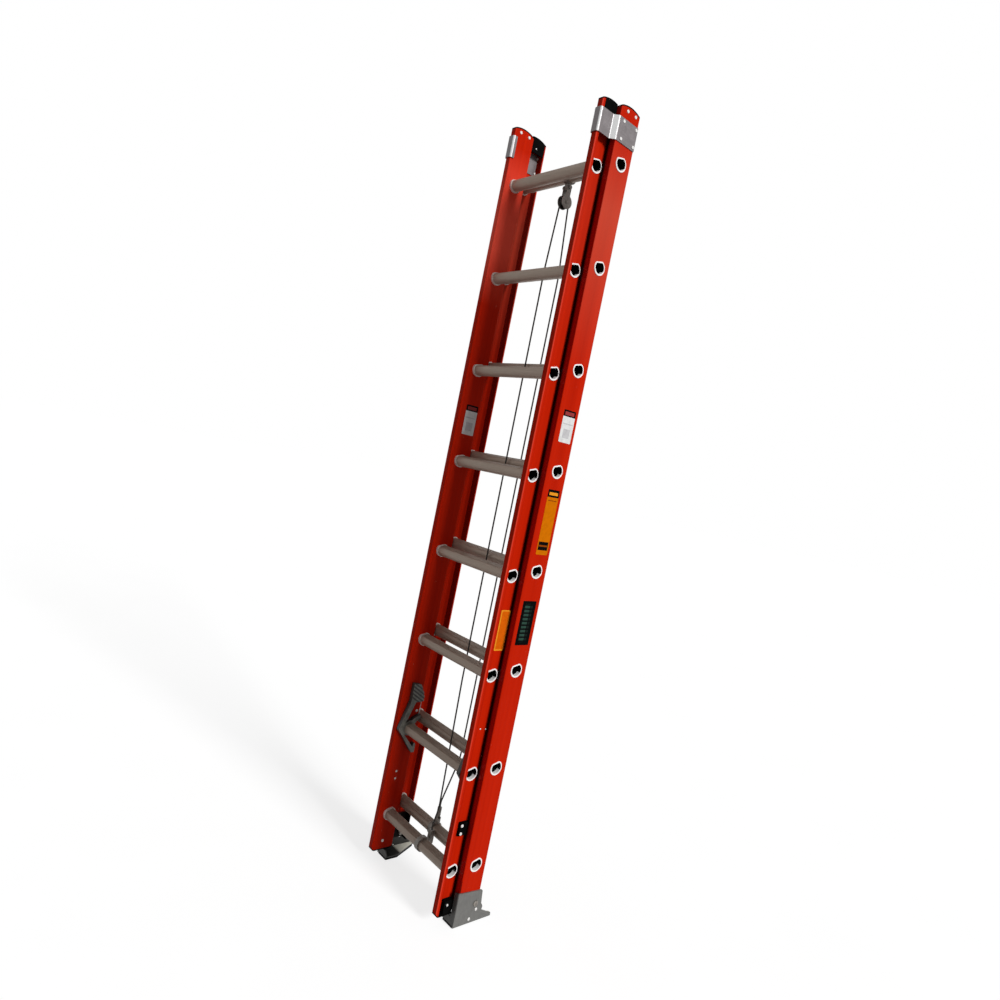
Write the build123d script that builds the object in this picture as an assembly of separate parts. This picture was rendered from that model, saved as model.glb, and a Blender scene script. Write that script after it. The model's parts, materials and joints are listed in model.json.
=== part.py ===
from build123d import *
import math
import os

os.makedirs("parts", exist_ok=True)

# Driving dimensions in millimetres. X runs across the ladder, Y from the climber's side
# (minus) to the wall's side (plus), Z up from the floor.

# Both sections
RUNG_PITCH = 304.8
RUNG_COUNT = 8
WEB_THICK = 4.5
ARCH_RADIUS = 100.0

# Rungs and their fittings
RUNG_RADIUS = 19.5
RUNG_FLAT = 15.0
RUNG_CORNER = 7.0
RUNG_WALL = 1.8
TREAD_TILT = 15.0
GROOVE_COUNT = 5
GROOVE_PITCH = 4.5
GROOVE_WIDTH = 2.0
GROOVE_DEPTH = 0.8
FLARE_WALL = 3.0
FLARE_THICK = 2.0
COLLAR_WALL = 3.0
COLLAR_THICK = 7.0
RUNG_FIT = 0.2
FLARE_ROUND = 0.8

# Fly section
FLY_WIDTH = 360.0
FLY_DEPTH = 83.0
FLY_FLANGE = 22.0
FLY_FLANGE_THICK = 4.5
FLY_LIP = 11.0
FLY_LIP_THICK = 4.5
FLY_FOOT_GAP = 8.0
FLY_TAIL = 125.0
FLY_CORNER = 4.0
FLY_FOOT_ROUND = 12.0

# Base section, measured from the fly section
BASE_STEP_OUT = 34.0
BASE_STEP_BACK = 64.0
BASE_STEP_UP = 24.5
BASE_DEPTH = 84.0
BASE_FLANGE = 29.5
BASE_FLANGE_THICK = 5.0
BASE_TAIL = 144.5
BASE_CORNER = 3.5
INNER_CORNER = 2.0
TIP_ROUND = 1.5

# Rivets
RIVET_RADIUS = 2.4
RIVET_FIT = 0.05
RIVET_HEAD_RADIUS = 5.0
RIVET_HEAD_HEIGHT = 2.2
RIVET_TAIL_RADIUS = 3.6
RIVET_TAIL_HEIGHT = 1.5
RIVET_DOME = 1.6

# Guide brackets
SHEET = 2.5
SHEET_BEND = 7.0
GUIDE_GAP = 1.5
BRACKET_TOP = 38.0
BRACKET_HEIGHT = 69.0
BRACKET_STEP = 12.5
BRACKET_RETURN = 14.5
BRACKET_EDGE = 2.0
BRACKET_RIVETS_BACK = (18.0, 75.0)
BRACKET_RIVET_EDGE = (10.0, 60.0)
BACKING_GAP = 0.3

# Caps
CAP_SEAT = 0.1
CAP_HEAD = 3.5
CAP_GAP = 2.0
CAP_PLUG = 46.0
CAP_WALL = 3.5
CAP_RIVET_DROP = 13.0
FLY_CAP_FRONT = 30.0
FLY_CAP_PLATE = 3.0
FLY_CAP_RIVETS = (-17.0, 20.0)
BASE_CAP_RIVETS = (28.0, 64.0)
BASE_CAP_SOLID = 24.0
FOOT_CAP_PLUG = 40.0
FOOT_CAP_FRONT = -15.0
FOOT_CAP_BACK = 18.0
FOOT_CAP_DEPTH = 16.0
FOOT_CAP_HEAD = 4.0
FOOT_CAP_LIP = 3.0
FOOT_CAP_RIVETS = ((-4.0, 28.0),)

# Fly guide blocks
GUIDE_BLOCK_BOTTOM = 114.5
GUIDE_BLOCK_HEIGHT = 41.0
GUIDE_BLOCK_FRONT = -10.5
GUIDE_BLOCK_BACK = 26.0
GUIDE_BLOCK_SHOULDER = 19.0
GUIDE_BLOCK_ROUND = 2.5
GUIDE_BLOCK_PLATE = 3.5
GUIDE_BLOCK_DEPTH = 11.0
GUIDE_BLOCK_RIVET_Y = -4.0
GUIDE_BLOCK_RIVET_EDGE = 8.0

# Pulley
PULLEY_X = 8.0
PULLEY_DROP = 80.0
PULLEY_WIDTH = 16.0
SHEAVE_PITCH_RADIUS = 17.5
SHEAVE_RADIUS = 20.0
SHEAVE_WIDTH = 10.0
SHEAVE_HUB_RADIUS = 7.0
SHEAVE_SIDE_GAP = 0.5
CHEEK_RADIUS = 21.0
CHEEK_THICK = 2.5
CHEEK_NECK = 16.0
LUG_WIDTH = 12.0
LUG_DROP = 44.0
STRAP_RADIUS = 24.0
PULLEY_BOLT_RADIUS = 4.0
PULLEY_BOLT_DROP = 34.0
PULLEY_BOLT_HEAD = 6.5
PULLEY_BOLT_HEAD_HEIGHT = 4.0
PULLEY_NUT = 7.5
PULLEY_NUT_HEIGHT = 5.5
SHEAVE_PIN_RADIUS = 3.0
SHEAVE_PIN_HEAD = 5.0
SHEAVE_PIN_HEAD_HEIGHT = 2.0
PIN_FIT = 0.05

# Rope, clamp and anchor
ROPE_RADIUS = 2.5
ROPE_GROOVE_FIT = 0.4
ROPE_FRONT = 27.0
ROPE_BACK = 38.0
ROPE_TURN_DROP = 70.0
ROPE_LEG_BEND = 400.0
ROPE_LOW_BEND = 200.0
ROPE_END_BEND = 40.0
ROPE_FIT = 0.3
CLAMP_STRAP_RADIUS = 23.5
CLAMP_X = -5.0
CLAMP_WIDTH = 16.0
CLAMP_SOCKET_RADIUS = 7.0
CLAMP_SOCKET_BACK = 6.0
CLAMP_SOCKET_LOW = 24.0
CLAMP_SOCKET_HIGH = 70.0
CLAMP_SOCKET_DEPTH = 10.0
CLAMP_EYE_RADIUS = 4.0
CLAMP_EYE_HEIGHT = 36.0
CLAMP_NECK = 14.0
ANCHOR_X = 22.0
ANCHOR_TAB_FRONT = 24.0
ANCHOR_TAB_BACK = 38.0
ANCHOR_TAB_HEIGHT = 40.0
ANCHOR_TAB_LOW = -4.0
ANCHOR_ROPE_Y = 31.0
ANCHOR_ROPE_DEPTH = 14.0
ROPE_MID_X = 14.0
ROPE_MID_HEIGHT = 534.0
ROPE_LOW_X = 28.0
ROPE_LOW_Y = 37.0
ROPE_LOW_HEIGHT = 112.0

# Rung locks, outlines measured from the axis of the rung that carries them
LOCK_RUNG = 1
LOCK_WIDTH = 14.0
LOCK_GAP = 0.5
LOCK_COLLAR_THICK = 3.0
LOCK_BORE_GAP = 0.5
LOCK_HUB_RADIUS = 25.0
LOCK_UPPER_ARM = ((-41.0, -2.0), (-12.0, 92.0), (10.0, 92.0), (-24.0, 4.0))
LOCK_FINGER = ((-12.0, 92.0), (-12.0, 154.0), (16.0, 150.0), (34.0, 122.0), (39.5, 104.0),
               (39.5, 90.0), (20.0, 88.0))
LOCK_LOWER_ARM = ((-41.0, -2.0), (-24.0, 6.0), (-14.0, -22.0), (39.5, -80.0), (39.5, -88.0), (28.0, -88.0))
LOCK_HEEL = ((39.5, -88.0), (39.5, -60.0), (34.0, -54.0), (30.0, -58.0), (30.0, -84.0))
LOCK_LEVER = ((-10.0, 16.0), (18.0, 35.0), (31.0, 42.0), (39.5, 44.5), (39.5, 29.0), (33.0, 27.0),
              (12.0, 8.0))
LOCK_EDGE = 1.5
LOCK_RIB_COUNT = 5
LOCK_RIB_LOW = 98.0
LOCK_RIB_HIGH = 146.0
LOCK_RIB_WIDTH = 5.0
LOCK_RIB_DEPTH = 2.5
LOCK_RIB_SLOPE = -32.0
RETAINER_WALL = 1.5
RETAINER_THICK = 2.5
RETAINER_GAP = 0.3
SPRING_WIRE_RADIUS = 1.0
SPRING_TOP = (34.5, 96.0)
SPRING_FOOT = (35.0, 38.0)
SPRING_HOLE_FIT = 0.1
LOCK_RIVET = (30.0, 52.0)

# Shoes
SHOE_PLATE = 4.0
SHOE_GAP = 0.3
SHOE_FRONT_GAP = 3.0
SHOE_PIVOT_BACK = 27.0
SHOE_PIVOT_EDGE = 16.0
SHOE_TOP_FRONT = 110.0
SHOE_TOP_BACK = 101.0
SHOE_PLATE_LOW = 2.5
SHOE_WALL_IN = 14.0
SHOE_FLARE_IN = 51.0
SHOE_FLARE_TOP = 29.0
SHOE_SPUR = 61.0
SHOE_SPUR_HEIGHT = 11.0
SHOE_SPUR_WIDTH = 9.0
SHOE_BACK_OUTLINE = ((6.0, 101.0), (11.0, 57.0), (19.0, 45.0), (17.0, 33.0))
SHOE_TAPER_START = 42.0
SHOE_SOLE = 4.0
SHOE_CORNER = 3.5
PAD_THICK = 8.0
PAD_INSET = 2.0
SHOE_RIVETS = ((34.0, 42.0), (12.0, 16.0))
SHOE_BOLT_RADIUS = 5.0
SHOE_BOLT_HEAD = 9.0
SHOE_BOLT_HEAD_HEIGHT = 3.5
SHOE_NUT = 8.0
SHOE_NUT_HEIGHT = 8.0

# Derived positions, right-hand side
fly_web_out = FLY_WIDTH / 2
fly_web_in = fly_web_out - WEB_THICK
fly_tip = fly_web_in + FLY_FLANGE
base_web_out = fly_web_out + BASE_STEP_OUT
base_web_in = base_web_out - WEB_THICK
base_tip = base_web_out - BASE_FLANGE
front_reach = FLY_DEPTH / 2 + GUIDE_GAP + SHEET
back_reach = BASE_STEP_BACK + BASE_DEPTH / 2 + SHOE_SPUR
fly_y = (front_reach - back_reach) / 2
base_y = fly_y + BASE_STEP_BACK
base_front = base_y - BASE_DEPTH / 2
base_back = base_y + BASE_DEPTH / 2
rail_length = RUNG_COUNT * RUNG_PITCH
fly_bottom = SHOE_FLARE_TOP + FLY_FOOT_GAP + FOOT_CAP_HEAD
fly_top = fly_bottom + rail_length
fly_rung_height = fly_bottom + FLY_TAIL
base_rung_height = fly_rung_height + BASE_STEP_UP
base_bottom = base_rung_height - BASE_TAIL
base_top = base_bottom + rail_length
base_top_rung = base_rung_height + (RUNG_COUNT - 1) * RUNG_PITCH


def block(x0, x1, y0, y1, z0, z1):
    """A square block between two corners."""
    return Pos((x0 + x1) / 2, (y0 + y1) / 2, (z0 + z1) / 2) * Box(x1 - x0, y1 - y0, z1 - z0)


def rod(radius, x0, x1, y, z):
    """A round bar that lies along X."""
    return Pos((x0 + x1) / 2, y, z) * Rot(0, 90, 0) * Cylinder(radius, x1 - x0)


def outline(points, radii):
    """A flat face with a radius of its own at each corner."""
    return make_face(FilletPolyline(*points, radius=radii, close=True))


def side_plate(points, radii, x0, x1):
    """A plate whose outline is drawn in Y and Z."""
    return Pos(x0, 0, 0) * extrude(Plane.YZ * outline(points, radii), x1 - x0)


def column(points, radii, z0, z1):
    """A bar of constant section, drawn in X and Y, from one height to another."""
    return Pos(0, 0, z0) * extrude(outline(points, radii), z1 - z0)


def moved(points, y, z):
    """An outline measured from an axis, at that axis."""
    return [(y + py, z + pz) for py, pz in points]


def d_face(grow):
    """Section of a rung, grown all round: round, with a level tread and eased corners."""
    radius = RUNG_RADIUS + grow
    flat = RUNG_FLAT + grow
    face = Circle(radius) & Pos(0, (flat - radius) / 2) * Rectangle(4 * radius, flat + radius)
    return fillet(face.vertices().group_by(Axis.Y)[-1], RUNG_CORNER + grow)


def along_x(face, x0, x1, y, z):
    """A rung section run along X, its tread tilted to the climber."""
    return Pos(x0, y, z) * extrude(Plane.YZ * Rot(0, 0, TREAD_TILT) * face, x1 - x0)


def d_bar(grow, x0, x1, y, z):
    """The solid that a rung fills, grown all round."""
    return along_x(d_face(grow), x0, x1, y, z)


def collar(wall, x0, x1, y, z):
    """A ring that follows a rung's section."""
    return d_bar(wall, x0, x1, y, z) - d_bar(RUNG_FIT, x0 - 1, x1 + 1, y, z)


def rung_heights(first):
    return [first + i * RUNG_PITCH for i in range(RUNG_COUNT)]


def rung(web_out, y, z):
    """A hollow rung with a grooved tread and a rolled flare outside each web."""
    bore = d_face(-RUNG_WALL)
    section = d_face(0) - bore
    for i in range(GROOVE_COUNT):
        across = (i - (GROOVE_COUNT - 1) / 2) * GROOVE_PITCH
        section -= Pos(across, RUNG_FLAT) * Rectangle(GROOVE_WIDTH, 2 * GROOVE_DEPTH)
    end = web_out + FLARE_THICK
    body = along_x(section, -end, end, y, z)
    for side in (-1, 1):
        x0, x1 = sorted((side * web_out, side * end))
        disc = d_bar(FLARE_WALL, x0, x1, y, z)
        rim = disc.edges().group_by(Axis.X)[0 if side < 0 else -1]
        body += fillet(rim, FLARE_ROUND) - along_x(bore, x0 - 1, x1 + 1, y, z)
    return body


def both(shape):
    """The right-hand piece and its mirror image."""
    return [shape, mirror(shape, Plane.YZ)]


def rivet(grip, tail):
    """A rivet along X: domed head outside X = 0, shank inward, with or without a formed tail."""
    head = rod(RIVET_HEAD_RADIUS, 0, RIVET_HEAD_HEIGHT, 0, 0)
    head = fillet(head.edges().group_by(Axis.X)[-1], RIVET_DOME)
    body = head + rod(RIVET_RADIUS, -grip, 1, 0, 0)
    if tail:
        body += rod(RIVET_TAIL_RADIUS, -grip - RIVET_TAIL_HEIGHT, -grip, 0, 0)
    return body


def rivet_hole(x0, x1, y, z):
    return rod(RIVET_RADIUS + RIVET_FIT, x0, x1, y, z)


def arch(x0, x1, y, peak, lift):
    """The round that ends a rail, raised by lift."""
    return rod(ARCH_RADIUS + lift, x0, x1, y, peak - ARCH_RADIUS)


def arched(rail, x0, x1, y, peak):
    """A rail with its top end rounded over."""
    top = block(x0, x1, y - ARCH_RADIUS, y + ARCH_RADIUS, peak - ARCH_RADIUS, peak + ARCH_RADIUS)
    return rail - (top - arch(x0 - 1, x1 + 1, y, peak, 0))


def tube(path, radius):
    """A round wire or rope along a path."""
    return sweep(Plane(origin=path @ 0, z_dir=path % 0) * Circle(radius), path=path)


def hexagon(radius, x0, x1, y, z, bore):
    nut = Pos(x0, y, z) * extrude(Plane.YZ * RegularPolygon(radius, 6, rotation=30), x1 - x0)
    return nut - rod(bore, x0 - 1, x1 + 1, y, z)


# Rivet positions: (y, z), right-hand side
bracket_low = base_top - BRACKET_TOP - BRACKET_HEIGHT
bracket_high = base_top - BRACKET_TOP
bracket_rivets = [(base_front + y, bracket_low + z)
                  for y in BRACKET_RIVETS_BACK for z in BRACKET_RIVET_EDGE]
base_cap_rivets = [(base_front + y, base_top - CAP_RIVET_DROP) for y in BASE_CAP_RIVETS]
fly_cap_rivets = [(fly_y + y, fly_top - CAP_RIVET_DROP) for y in FLY_CAP_RIVETS]
foot_cap_rivets = [(fly_y + y, fly_bottom + z) for y, z in FOOT_CAP_RIVETS]
guide_low = fly_rung_height + GUIDE_BLOCK_BOTTOM
guide_high = guide_low + GUIDE_BLOCK_HEIGHT
guide_rivets = [(fly_y + GUIDE_BLOCK_RIVET_Y, z) for z in
                (guide_low + GUIDE_BLOCK_RIVET_EDGE, guide_high - GUIDE_BLOCK_RIVET_EDGE)]
lock_z = fly_rung_height + LOCK_RUNG * RUNG_PITCH
lock_rivets = [(fly_y + LOCK_RIVET[0], lock_z + LOCK_RIVET[1])]
shoe_pivot = (base_y + SHOE_PIVOT_BACK, base_bottom + SHOE_PIVOT_EDGE)


def fly_section(x_in):
    """Outline of the fly rail, its web's inner face at x_in."""
    half = FLY_DEPTH / 2
    web = x_in + WEB_THICK
    tip = x_in + FLY_FLANGE
    lip = tip - FLY_LIP_THICK
    inner = half - FLY_FLANGE_THICK
    mouth = half - FLY_LIP
    points = [(x_in, -half), (tip, -half), (tip, -mouth), (lip, -mouth), (lip, -inner), (web, -inner),
              (web, inner), (lip, inner), (lip, mouth), (tip, mouth), (tip, half), (x_in, half)]
    front = [FLY_CORNER, FLY_CORNER, TIP_ROUND, 0, 0, INNER_CORNER]
    radii = front + front[::-1]
    return [(x, fly_y + y) for x, y in points], radii


def base_section():
    """Outline of the base rail, which opens inward."""
    inner_front = base_front + BASE_FLANGE_THICK
    inner_back = base_back - BASE_FLANGE_THICK
    points = [(base_tip, base_front), (base_web_out, base_front), (base_web_out, base_back),
              (base_tip, base_back), (base_tip, inner_back), (base_web_in, inner_back),
              (base_web_in, inner_front), (base_tip, inner_front)]
    half = [BASE_CORNER, TIP_ROUND, TIP_ROUND, INNER_CORNER]
    radii = [TIP_ROUND, BASE_CORNER, *half, INNER_CORNER, TIP_ROUND]
    return points, radii


def fly_foot(drop):
    """Side outline of the fly rail's rounded lower end, lowered by drop, as a plate across the rail."""
    half = FLY_DEPTH / 2 + 1
    corner = FLY_FOOT_ROUND + 1
    low = fly_bottom - drop
    points = [(fly_y - half, low), (fly_y - half, fly_top), (fly_y + half, fly_top), (fly_y + half, low)]
    return side_plate(points, [corner, 0, 0, corner], fly_web_in - 1, fly_tip + 1)


def fly_rail():
    rail = column(*fly_section(fly_web_in), fly_bottom - 1, fly_top) & fly_foot(0)
    rail = arched(rail, fly_web_in - 1, fly_tip + 1, fly_y, fly_top)
    for z in rung_heights(fly_rung_height):
        rail -= d_bar(RUNG_FIT, fly_web_in - 1, fly_web_out + 1, fly_y, z)
    for y, z in fly_cap_rivets + foot_cap_rivets + guide_rivets + lock_rivets:
        rail -= rivet_hole(fly_web_in - 1, fly_web_out + 1, y, z)
    return rail


def base_rail():
    rail = column(*base_section(), base_bottom, base_top)
    rail = arched(rail, base_tip - 1, base_web_out + 1, base_y, base_top)
    for z in rung_heights(base_rung_height):
        rail -= d_bar(RUNG_FIT, base_web_in - 1, base_web_out + 1, base_y, z)
    for y, z in bracket_rivets + base_cap_rivets:
        rail -= rivet_hole(base_web_in - 1, base_web_out + 1, y, z)
    return rail - rod(SHOE_BOLT_RADIUS + PIN_FIT, base_web_in - 1, base_web_out + 1, *shoe_pivot)


def guide_bracket():
    """A folded sheet that hooks round the fly rail's front flange."""
    half = SHEET / 2
    out = base_web_out + half
    mid = fly_tip + GUIDE_GAP + half
    front = fly_y - FLY_DEPTH / 2 - GUIDE_GAP - half
    inside = fly_web_in - GUIDE_GAP - half
    bend = base_front - GUIDE_GAP
    points = [(out, base_back - BRACKET_EDGE), (out, bend), (mid, bend - BRACKET_STEP), (mid, front),
              (inside, front), (inside, front + BRACKET_RETURN)]
    line = FilletPolyline(*points, radius=SHEET_BEND)
    sheet = Pos(0, 0, bracket_low) * extrude(trace(line, SHEET), BRACKET_HEIGHT)
    for y, z in bracket_rivets:
        sheet -= rivet_hole(base_web_out - 1, base_web_out + SHEET + 1, y, z)
    return sheet


def backing_plate():
    front = base_front + BASE_FLANGE_THICK + BACKING_GAP
    back = base_back - BASE_FLANGE_THICK - BACKING_GAP
    plate = block(base_web_in - SHEET, base_web_in, front + INNER_CORNER, back - INNER_CORNER,
                  bracket_low, bracket_high - CAP_GAP)
    for y, z in bracket_rivets:
        plate -= rivet_hole(base_web_in - SHEET - 1, base_web_in + 1, y, z)
    return plate


def capped(head, plug, x0, x1, y, peak):
    """A cap: an arched head over a rail's end, with a plug below it."""
    rounded = arch(x0 - 1, x1 + 1, y, peak, CAP_SEAT + CAP_HEAD)
    seat = arch(x0 - 1, x1 + 1, y, peak, CAP_SEAT)
    return (head & rounded) - seat + (plug & rounded)


def base_top_cap():
    """Plug of the base rail, cut away where the fly rail's rear flange passes."""
    pass_x = fly_tip + CAP_GAP
    pass_y = fly_y + FLY_DEPTH / 2 + CAP_GAP
    flange = base_front + BASE_FLANGE_THICK
    back = base_back - BASE_FLANGE_THICK - BACKING_GAP
    z0 = base_top - 2 * CAP_PLUG
    z1 = base_top + 2 * CAP_HEAD
    points = [(base_tip, base_front), (base_web_out, base_front), (base_web_out, base_back),
              (base_tip, base_back), (base_tip, pass_y), (pass_x, pass_y), (pass_x, flange),
              (base_tip, flange)]
    radii = [TIP_ROUND, BASE_CORNER, BASE_CORNER] + [TIP_ROUND] * 5
    head = column(points, radii, z0, z1)
    low = base_top - CAP_PLUG
    plug = block(base_tip, base_tip + CAP_WALL, pass_y, back, low, z1)
    solid_low = base_top - BASE_CAP_SOLID + CAP_GAP
    plug += block(base_tip, base_web_in, pass_y, back - INNER_CORNER, solid_low, z1)
    cap = capped(head, plug, base_tip, base_web_out, base_y, base_top)
    for y, z in base_cap_rivets:
        cap -= rivet_hole(base_web_in - 12, base_web_in + 1, y, z)
    return cap


def flange_slot(z0, z1):
    """The way of the base rail's front flange through a cap of the fly rail."""
    mouth = fly_y + FLY_DEPTH / 2 - FLY_LIP
    return block(fly_web_out + FLY_CAP_PLATE, fly_tip + 1, base_front - CAP_GAP, mouth, z0, z1)


def fly_cap_head(z0, z1):
    """The fly rail's full outline, as a cap's head."""
    half = FLY_DEPTH / 2
    points = [(fly_web_in, fly_y - half), (fly_tip, fly_y - half), (fly_tip, fly_y + half),
              (fly_web_in, fly_y + half)]
    return column(points, [FLY_CORNER] * 4, z0, z1)


def fly_top_cap():
    """Plug of the fly rail, slotted where the base rail's front flange passes."""
    z0 = fly_top - 2 * CAP_PLUG
    z1 = fly_top + 2 * CAP_HEAD
    shoulder = base_front - CAP_GAP
    head = fly_cap_head(z0, z1) - flange_slot(z0 - 1, z1 + 1)
    low = fly_top - CAP_PLUG
    plug = block(fly_web_out, fly_tip, fly_y - FLY_CAP_FRONT, shoulder, low, z1)
    plug += block(fly_web_out, fly_web_out + FLY_CAP_PLATE, shoulder, fly_y + FLY_CAP_FRONT, low, z1)
    cap = capped(head, plug, fly_web_in, fly_tip, fly_y, fly_top)
    for y, z in fly_cap_rivets:
        cap -= rivet_hole(fly_web_out - 1, fly_web_out + 2 * FLY_CAP_PLATE, y, z)
    return cap


def fly_bottom_cap():
    """Plug of the fly rail's foot, with a head that follows the rail's rounded end."""
    z0 = fly_bottom - FOOT_CAP_HEAD - 1
    z1 = fly_bottom + FOOT_CAP_LIP
    head = (fly_cap_head(z0, z1) & fly_foot(FOOT_CAP_HEAD)) - fly_foot(CAP_SEAT)
    head -= flange_slot(z0 - 1, z1 + 1)
    plug = block(fly_web_out, fly_web_out + FOOT_CAP_DEPTH, fly_y + FOOT_CAP_FRONT, fly_y + FOOT_CAP_BACK,
                 fly_bottom - 1, fly_bottom + FOOT_CAP_PLUG)
    cap = head + plug
    for y, z in foot_cap_rivets:
        cap -= rivet_hole(fly_web_out - 1, fly_web_out + FOOT_CAP_DEPTH + 1, y, z)
    return cap


def fly_guide_block():
    """A slide block beside the base rail's front flange."""
    front = fly_y + GUIDE_BLOCK_FRONT
    back = fly_y + GUIDE_BLOCK_BACK
    shoulder = fly_y + GUIDE_BLOCK_SHOULDER
    body = block(fly_web_out, fly_web_out + GUIDE_BLOCK_PLATE, front, back, guide_low, guide_high)
    thick = block(fly_web_out, fly_web_out + GUIDE_BLOCK_DEPTH, front, shoulder, guide_low, guide_high)
    body += fillet(thick.edges().group_by(Axis.X)[-1], GUIDE_BLOCK_ROUND)
    for y, z in guide_rivets:
        body -= rivet_hole(fly_web_out - 1, fly_web_out + GUIDE_BLOCK_DEPTH + 1, y, z)
    return body


def collars(web_in, y, first, thin):
    """A collar at each rung end, thinner on the rung with index thin."""
    found = []
    for i, z in enumerate(rung_heights(first)):
        thick = LOCK_COLLAR_THICK if i == thin else COLLAR_THICK
        found += both(collar(COLLAR_WALL, web_in - thick, web_in, y, z))
    return found


def base_rivets():
    found = []
    bracket_rivet = rivet(SHEET + WEB_THICK + SHEET, True)
    for y, z in bracket_rivets:
        found += both(Pos(base_web_out + SHEET, y, z) * bracket_rivet)
    cap_rivet = rivet(WEB_THICK + 10, False)
    for y, z in base_cap_rivets:
        found += both(Pos(base_web_out, y, z) * cap_rivet)
    return found


def fly_rivets():
    found = []
    cap_rivet = Rot(0, 0, 180) * rivet(WEB_THICK + FLY_CAP_PLATE, False)
    for y, z in fly_cap_rivets:
        found += both(Pos(fly_web_in, y, z) * cap_rivet)
    foot_rivet = Rot(0, 0, 180) * rivet(WEB_THICK + FOOT_CAP_DEPTH, True)
    for y, z in foot_cap_rivets:
        found += both(Pos(fly_web_in, y, z) * foot_rivet)
    lock_rivet = Rot(0, 0, 180) * rivet(WEB_THICK, True)
    for y, z in lock_rivets:
        found += both(Pos(fly_web_in, y, z) * lock_rivet)
    guide_rivet = rivet(WEB_THICK + GUIDE_BLOCK_DEPTH, True)
    for y, z in guide_rivets:
        found += both(Pos(fly_web_out + GUIDE_BLOCK_DEPTH, y, z) * guide_rivet)
    return found


# Pulley on the base section's top rung
pulley_x0 = PULLEY_X - PULLEY_WIDTH / 2
pulley_x1 = PULLEY_X + PULLEY_WIDTH / 2
sheave_z = base_top_rung - PULLEY_DROP
pulley_bolt_z = base_top_rung - PULLEY_BOLT_DROP


def pulley_clamp():
    half = LUG_WIDTH / 2
    lug = block(pulley_x0, pulley_x1, base_y - half, base_y + half, base_top_rung - LUG_DROP, base_top_rung)
    ring = rod(STRAP_RADIUS, pulley_x0, pulley_x1, base_y, base_top_rung) + lug
    ring -= d_bar(RUNG_FIT, pulley_x0 - 1, pulley_x1 + 1, base_y, base_top_rung)
    return ring - rod(PULLEY_BOLT_RADIUS + PIN_FIT, pulley_x0 - 1, pulley_x1 + 1, base_y, pulley_bolt_z)


def pulley_cheeks():
    found = []
    for x0 in (pulley_x0 - CHEEK_THICK, pulley_x1):
        x1 = x0 + CHEEK_THICK
        cheek = rod(CHEEK_RADIUS, x0, x1, base_y, sheave_z)
        cheek += block(x0, x1, base_y - CHEEK_NECK / 2, base_y + CHEEK_NECK / 2, sheave_z, pulley_bolt_z)
        cheek += rod(CHEEK_NECK / 2, x0, x1, base_y, pulley_bolt_z)
        cheek -= rod(PULLEY_BOLT_RADIUS + PIN_FIT, x0 - 1, x1 + 1, base_y, pulley_bolt_z)
        cheek -= rod(SHEAVE_PIN_RADIUS + PIN_FIT, x0 - 1, x1 + 1, base_y, sheave_z)
        found.append(cheek)
    return found


def pulley_bolt():
    left = pulley_x0 - CHEEK_THICK
    right = pulley_x1 + CHEEK_THICK
    end = left - PULLEY_NUT_HEIGHT
    head = hexagon(PULLEY_BOLT_HEAD, right, right + PULLEY_BOLT_HEAD_HEIGHT, base_y, pulley_bolt_z, 0.5)
    bolt = rod(PULLEY_BOLT_RADIUS, end - 1, right + PULLEY_BOLT_HEAD_HEIGHT, base_y, pulley_bolt_z) + head
    nut = hexagon(PULLEY_NUT, end, left, base_y, pulley_bolt_z, PULLEY_BOLT_RADIUS + PIN_FIT)
    return [bolt, nut]


def sheave_pin():
    left = pulley_x0 - CHEEK_THICK
    right = pulley_x1 + CHEEK_THICK
    pin = rod(SHEAVE_PIN_RADIUS, left - 1, right + 1, base_y, sheave_z)
    pin += rod(SHEAVE_PIN_HEAD, left - SHEAVE_PIN_HEAD_HEIGHT, left, base_y, sheave_z)
    return pin + rod(SHEAVE_PIN_HEAD, right, right + SHEAVE_PIN_HEAD_HEIGHT, base_y, sheave_z)


def sheave():
    half = SHEAVE_WIDTH / 2
    wheel = rod(SHEAVE_RADIUS, PULLEY_X - half, PULLEY_X + half, base_y, sheave_z)
    hub_x0 = pulley_x0 + SHEAVE_SIDE_GAP
    hub_x1 = pulley_x1 - SHEAVE_SIDE_GAP
    wheel += rod(SHEAVE_HUB_RADIUS, hub_x0, hub_x1, base_y, sheave_z)
    groove = ROPE_RADIUS + ROPE_GROOVE_FIT
    wheel -= Pos(PULLEY_X, base_y, sheave_z) * Rot(0, 90, 0) * Torus(SHEAVE_PITCH_RADIUS, groove)
    mouth = rod(SHEAVE_RADIUS + 1, PULLEY_X - groove, PULLEY_X + groove, base_y, sheave_z)
    wheel -= mouth - rod(SHEAVE_PITCH_RADIUS, pulley_x0, pulley_x1, base_y, sheave_z)
    return wheel - rod(SHEAVE_PIN_RADIUS + PIN_FIT, pulley_x0, pulley_x1, base_y, sheave_z)


# Rope: over the sheave, down the front of the base rungs to the fly, down their back to the clamp
leg_high = base_top_rung - RUNG_PITCH
leg_low = base_rung_height + RUNG_PITCH - ROPE_TURN_DROP
front_leg_y = base_y - ROPE_FRONT
back_leg_y = base_y + ROPE_BACK


def tangent_point(y, z, side):
    """Where a straight leg from (y, z) meets the rope's turn over the sheave."""
    dy = y - base_y
    dz = z - sheave_z
    reach = math.hypot(dy, dz)
    turn = math.acos(SHEAVE_PITCH_RADIUS / reach)
    angle = math.atan2(dz, dy) + side * turn
    return base_y + SHEAVE_PITCH_RADIUS * math.cos(angle), sheave_z + SHEAVE_PITCH_RADIUS * math.sin(angle)


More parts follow.
